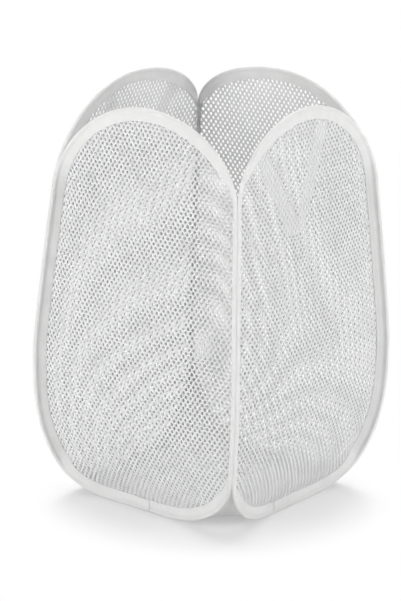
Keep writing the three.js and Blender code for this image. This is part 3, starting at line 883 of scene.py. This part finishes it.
def floor_cloth():
    """The floor: a thin cloth with soft creases, its border turned up and sewn along tapes and gussets."""
    edge, lift, straight = floor_edge()
    count = len(edge)
    along = np.roll(edge, -1, 0) - np.roll(edge, 1, 0)
    out = normalised(np.stack([along[:, 1], -along[:, 0]], 1) + 1e-9)
    shares = np.concatenate([[0.01], np.linspace(0.05, 0.90, 36), np.linspace(0.915, 0.995, 9)])[:, None]
    x, y = shares * edge[:, 0], shares * edge[:, 1]
    creases = np.zeros_like(x)
    draws = np.random.default_rng(77)
    for _ in range(6):
        way, bend = draws.uniform(0, math.pi), draws.uniform(0, 6.3)
        turns = draws.uniform(7, 15)
        phase = turns * (x * math.cos(way) + y * math.sin(way)) * 2 + bend + 0.8 * np.sin(9 * (x - y) + bend)
        creases += (1 - np.abs(np.sin(phase))) ** 6 / 3
    swell = 1 + np.sin(11 * x + 0.7) * np.sin(13 * y + 1.9)
    fade = 1 - smoothstep(shares, 0.86, 0.99)
    z = 0.0006 + fade * (FLOOR_CREASE * creases + FLOOR_SWELL * swell) + smoothstep(shares, 0.74, 0.99) * lift
    rings = [np.stack([x, y, z], -1)]
    for shift, height in TURN_UP:
        wave = 0.0004 * np.sin(np.arange(count) * 0.31) * (height > 0.009)
        ring = edge + out * (shift * straight)[:, None]
        rings.append(np.column_stack([ring, lift + height * (1 - 40 * lift) + wave])[None])
    grid = np.concatenate(rings)
    normals = grid_normals(np.concatenate([grid[:, -1:], grid, grid[:, :1]], 1))[:, 1:-1]
    normals *= np.where(normals[:1, :, 2:] < 0, -1, 1)
    middle = np.concatenate([grid.reshape(-1, 3), [[0, 0, grid[0, :, 2].mean()]]])
    ups = np.concatenate([normals.reshape(-1, 3), [[0, 0, 1]]])
    edge_row = np.arange(count)
    tris = np.stack([edge_row, np.roll(edge_row, -1), np.full(count, len(middle) - 1)], 1)
    layer = [grid_faces(len(grid), count, False, True)[:, ::-1], tris]
    made = closed_sheet("floor_sheet", middle, ups, FLOOR_THICKNESS, layer, 0, "cloth", middle[:, :2])
    row = grid[len(shares) + 2]
    inward = -np.column_stack([out, np.zeros(count)])
    row, inward = (np.concatenate([values, values[:1]]) for values in (row, inward))
    return made, sew("floor_stitches", "floor", [(row + inward * 0.0004, inward)], 0)


# ---- handles
STRAP_WIDTH = 0.025
# Across and height on the panel: the handle's two ends and the low point of its V
STRAP_FRONT = np.array([-0.100, 0.562])
STRAP_BACK = np.array([0.046, 0.582])
STRAP_LOW = np.array([-0.010, 0.446])
STRAP_CLEAR = 0.0022
TACK_SET = 0.0014
TACK_START = -0.0012
TACK_RUN = 0.0150
BEND_RADIUS = 0.0020
# A tack's box: where it starts and ends along the strap, and half its width
BOX_FACTS = (0.0022, TACK_RUN - 0.0018, STRAP_WIDTH / 2 - 0.0030)
# Its runs of stitches, the last two crossing: two of its corners, and how far the run is raised
BOX_RUNS = ((0, 1, 0), (1, 2, 0), (2, 3, 0), (3, 0, 0), (0, 2, 0.0001), (1, 3, 0.0001))
# How far the strap stands out and tilts at its low point, and how far its legs wave
STRAP_CUP = 0.0030
STRAP_TILT = 0.0026
STRAP_WAVE = 0.0008
# One half of the webbing's section in mm: place from the middle, and height
WEB_HALF = [
    (12.5, 0.0), (12.42, 0.34), (12.0, 0.58), (11.2, 0.60), (10.6, 0.44), (9.8, 0.52), (6.5, 0.55),
    (3.2, 0.55),
]


def turn_2d(vector, angle):
    x, y = vector
    return np.array([x * math.cos(angle) - y * math.sin(angle), x * math.sin(angle) + y * math.cos(angle)])


def handle_facts():
    """The hinge line's slant and length, the V's inside corner and its legs' ways, in the handle's axes."""
    line = STRAP_BACK - STRAP_FRONT
    slant = math.atan2(line[1], line[0])
    span = float(np.hypot(*line))
    corner = turn_2d(STRAP_LOW - STRAP_FRONT, -slant)
    ways = []
    for end, side in ((0.0, -1), (span, 1)):
        reach = corner - np.array([end, 0.0])
        way = turn_2d(reach, side * math.asin(STRAP_WIDTH / 2 / np.hypot(*reach)))
        ways.append(way / np.hypot(*way))
    return slant, span, corner, ways


HANDLE_SLANT, HANDLE_SPAN, HANDLE_CORNER, LEG_WAYS = handle_facts()


def handle_matrix(side, plumb):
    """From a handle's own axes to its panel's: X along the hinge line, Y up, Z out of the panel."""
    slope = math.atan2(half_width(STRAP_FRONT[1]) - TOP_HALF, HEIGHT - STRAP_FRONT[1])
    set_out = float(half_width(STRAP_FRONT[1])) + side * (0.0029 + STRAP_CLEAR)
    made = Matrix.Translation((STRAP_FRONT[0], -set_out, STRAP_FRONT[1]))
    made = made @ Matrix.Rotation(math.pi / 2 - slope, 4, "X") @ Matrix.Rotation(HANDLE_SLANT, 4, "Z")
    if plumb and side < 0:
        made = made @ Matrix.Rotation(slope, 4, "X")
    return np.array(made)


def webbing(name, path, ways, lift, matrix, quarters):
    """Flat webbing along a path in the handle's axes. lift has its height and its tilt at each step."""
    top = [(-v, h) for v, h in WEB_HALF] + [(0.0, 0.55)] + WEB_HALF[::-1]
    section = np.array(top + [(v, -h) for v, h in top[-2:0:-1]]) * MM
    beside = np.stack([-ways[:, 1], ways[:, 0]], 1)
    flat = path[:, None] + beside[:, None] * section[None, :, :1]
    height = section[:, 1] + lift[:, :1] + lift[:, 1:] * (section[:, 0] / STRAP_WIDTH * 2)
    points = np.concatenate([flat, height[..., None], np.ones_like(height)[..., None]], -1)
    points = (points.reshape(-1, 4) @ matrix.T)[:, :3]
    cut = cut_grid(run_lengths(path), section[:, 0])
    return make_mesh(name, turned(points, quarters), tube(len(path), len(section)), "webbing", cut)


def strap(name, side, quarters):
    """The handle: a loop of webbing that hangs in a soft V and cups a little where it turns."""
    left, right = LEG_WAYS
    out_left = np.array([left[1], -left[0]])
    out_right = np.array([-right[1], right[0]])
    half_angle = 0.5 * math.acos(float(np.clip(-(out_left @ out_right), -1, 1)))
    centre = HANDLE_CORNER + np.array([0, BEND_RADIUS / max(math.cos(half_angle), 0.3) * 1.6])
    angles = np.linspace(math.atan2(*out_left[::-1]), math.atan2(*out_right[::-1]), 26)
    arc = centre + (STRAP_WIDTH / 2 + BEND_RADIUS) * np.stack([np.cos(angles), np.sin(angles)], 1)
    leg = np.linspace(0, 1, 44)[:, None]
    path = np.concatenate([arc[0] * leg[:-1], arc, between(arc[-1], np.array([HANDLE_SPAN, 0.0]), leg)[1:]])
    for _ in range(6):
        path[1:-1] = (path[:-2] + 2 * path[1:-1] + path[2:]) / 4
    run = run_lengths(path)
    low = np.exp(-(((run - run[-1] * 0.5) / 0.030) ** 2))
    ends = smoothstep(run, 0, 0.03) * smoothstep(run[-1] - run, 0, 0.03)
    wave = STRAP_WAVE * np.sin(run / run[-1] * 9.0 + 0.6) * ends
    lift = np.stack([side * (STRAP_CUP * low + wave), side * -STRAP_TILT * low], 1)
    ways = normalised(np.gradient(path, axis=0))
    return webbing(f"{name}_webbing_strap", path, ways, lift, handle_matrix(side, True), quarters)


def tack(name, end, side, quarters):
    """The strap's end, sewn to the rim's tape with a box of stitches and a cross in it."""
    start = np.array([0.0 if end == "front" else HANDLE_SPAN, 0.0])
    way = -LEG_WAYS[0 if end == "front" else 1]
    beside = np.array([-way[1], way[0]])
    matrix = handle_matrix(side, False)
    run = np.linspace(TACK_START, TACK_RUN, 22)
    pulled = 0.00012 * np.cos((run - TACK_START) / (TACK_RUN - TACK_START) * math.pi * 4)
    lift = np.stack([side * (pulled - TACK_SET), 0 * run], 1)
    path = start + way * run[:, None]
    made = webbing(f"{name}_{end}_strap_end", path, np.tile(way, (len(run), 1)), lift, matrix, quarters)
    low, high, wide = BOX_FACTS
    places = ((low, -wide), (low, wide), (high, wide), (high, -wide))
    corners = [start + way * along + beside * across for along, across in places]
    share = np.linspace(0, 1, 12)[:, None]
    runs = []
    for a, b, rise in BOX_RUNS:
        height = np.full(12, side * (0.00062 - TACK_SET) + side * rise)
        points = np.column_stack([between(corners[a], corners[b], share), height, np.ones(12)]) @ matrix.T
        runs.append((points[:, :3], np.tile(matrix[:3, 2] * side, (12, 1))))
    return made, sew(f"{name}_{end}_box_stitches", "box", runs, quarters)


# ---- how the pieces move
FRONT = "front_panel"
# Near a corner that folds, pieces lie between two bodies: both bodies, and where the bend starts and ends;
# here they are only baked in place, not bent
FIELDS = {
    "right": (FRONT, "right_panel", (0.0015, 0.0015, 0.3), (0.0220, 0.0220, 0.3)),
    "left": (FRONT, "left_panel", (-0.0015, 0.0015, 0.3), (-0.0275, 0.0275, 0.3)),
    "back": ("left_panel", "back_panel", (0.0015, 0.0015, 0.3), (0.0350, 0.0350, 0.3)),
}
# What each gusset moves with: a name above is baked in place, a body's own name is ridden
GUSSET_CARRIERS = {"front": "right", "right": "right_panel", "back": "back", "left": "left"}


def stand_for(piece, carrier, node):
    """piece replaces a CAD node, which is hidden, and moves with a body, or is baked in place near a corner
    that folds.
    """
    if node:
        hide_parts(node)
    if carrier in FIELDS:
        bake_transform(piece)
    else:
        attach(piece, FRONT if carrier == "front" else carrier)


def dress_panel(name, quarters):
    """A panel's tape, stitches, net, wire, sleeve and lap."""
    hoop = HOOPS[name]
    tape = binding(name, quarters)
    stand_for(tape, name, f"{name}_binding")
    rows = [
        tape_row(hoop, depth, height, side, 0.0, hoop.length)
        for depth, height in TAPE_ROWS for side in (1, -1)
    ]
    stand_for(sew(f"{name}_binding_stitches", "binding", rows, quarters), name, None)
    mesh = net(name, quarters)
    stand_for(mesh, name, f"{name}_mesh_panel")
    stand_for(wire(name, quarters), name, f"{name}_hoop_wire")
    stand_for(sleeve(name, quarters), name, f"{name}_wire_sleeve")
    end, end_sewing = lap(name, quarters)
    stand_for(end, name, f"{name}_binding_lap")
    stand_for(end_sewing, name, None)


def dress_corner(name, quarters, corner):
    """The gusset and the seam's stitches at a panel's right corner, where the next panel meets it."""
    after, after_quarters = PANELS[(quarters + 1) % 4][:2]
    skirt = gusset(name, quarters, corner)
    stand_for(skirt, GUSSET_CARRIERS[name], f"{name}_corner_gusset")
    if name == "right":
        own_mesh(skirt)
    near = seam_sewing(name, quarters, corner, 1, f"{name}_seam_stitches")
    stand_for(near, name, f"{name}_corner_stitching")
    far = seam_sewing(after, after_quarters, corner, -1, f"{name}_seam_stitches_far_side")
    stand_for(far, after, None)


def dress_handle(name, side, quarters):
    """A handle inside (-1) or outside (1) its panel, and its two sewn ends."""
    loop = strap(name, side, quarters)
    stand_for(loop, f"{name}_handle", f"{name}_handle_strap")
    for end in ("front", "back"):
        patch, sewing = tack(name, end, side, quarters)
        stand_for(patch, f"{name}_panel", f"{name}_handle_{end}_tack")
        stand_for(sewing, f"{name}_panel", None)


for panel_name, panel_turns, _, _ in PANELS:
    dress_panel(panel_name, panel_turns)
for panel_name, panel_turns, _, right_corner in PANELS:
    dress_corner(panel_name, panel_turns, right_corner)
dress_handle("right", -1, 1)
dress_handle("left", 1, 3)
floor, floor_sewing = floor_cloth()
stand_for(floor, FRONT, "floor_cloth")
stand_for(floor_sewing, FRONT, None)
for piece in (floor, floor_sewing):
    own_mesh(piece)


# ---- floor and light
# The ground is seen as plain white from the second radius on, and within the first by this share
CLEAR_RADIUS = (0.180, 0.290)
CLEAR_WHITE = 0.36
LAMP_AIM = Vector((0, 0, 0.3))
# Lamps: place, side of the square in metres, watts
LAMPS = {
    "right_lamp": ((3.179, 0.560, 0.986), 1.6, 62),
    "left_lamp": ((-0.835, -3.118, 0.986), 1.6, 65),
    "rear_lamp": ((-1.641, 1.822, 2.508), 2.0, 99),
    "front_lamp": ((2.018, -2.404, 1.320), 1.6, 13),
    "top_lamp": ((0.0, 0.1, 3.3), 2.5, 40),
}


def seen_directly(tree):
    """1 for what the camera, or glass or metal, sees straight; 0 for light that falls on something else."""
    path = tree.nodes.new("ShaderNodeLightPath")
    glossy = math_node(tree, "MAXIMUM", path.outputs["Is Glossy Ray"], path.outputs["Is Transmission Ray"])
    return math_node(tree, "MAXIMUM", path.outputs["Is Camera Ray"], glossy)


def make_stage():
    """A pale floor that keeps the shadow near the hamper and is plain white further out."""
    bpy.ops.mesh.primitive_circle_add(vertices=96, radius=7.0, fill_type="NGON", location=(0, 0, -0.0005))
    ground = bpy.context.object
    ground.name = "ground"
    made, tree, shader = node_material("ground_white")
    fill(tree, shader, {"Base Color": (0.86, 0.86, 0.86, 1), "Roughness": 0.9, "Specular IOR Level": 0.0})
    white = new_node(tree, "ShaderNodeEmission", {"Color": WHITE, "Strength": 1.0})
    place = tree.nodes.new("ShaderNodeTexCoord")
    distance = new_node(tree, "ShaderNodeVectorMath", {0: place.outputs["Object"]})
    distance.operation = "LENGTH"
    near, far = CLEAR_RADIUS
    clear = new_node(tree, "ShaderNodeMapRange", {
        "From Min": near, "From Max": far, "To Min": CLEAR_WHITE, "Value": distance.outputs["Value"],
    })
    clear.interpolation_type = "SMOOTHSTEP"
    mix_surface(tree, times(tree, seen_directly(tree), clear.outputs[0]), shader, white)
    ground.data.materials.append(made)


def make_world():
    """A white surrounding that lights the hamper only faintly."""
    world = bpy.data.worlds.new("studio")
    bpy.context.scene.world = world
    world.use_nodes = True
    tree = world.node_tree
    soft = tree.nodes["Background"]
    fill(tree, soft, {"Color": (1, 0.995, 0.985, 1), "Strength": 0.05})
    white = new_node(tree, "ShaderNodeBackground", {"Color": WHITE, "Strength": 1.0})
    mix_surface(tree, seen_directly(tree), soft, white, "World Output")


def area_light(name, place, size, energy):
    data = bpy.data.lights.new(name, "AREA")
    data.shape = "SQUARE"
    data.size = size
    data.energy = energy
    lamp = add_object(name, data)
    lamp.location = place
    lamp.visible_camera = False
    lamp.rotation_euler = (LAMP_AIM - Vector(place)).to_track_quat("-Z", "Y").to_euler()


make_stage()
make_world()
for lamp_name, facts in LAMPS.items():
    area_light(lamp_name, *facts)
bpy.context.scene.view_settings.view_transform = "Standard"
make_camera()
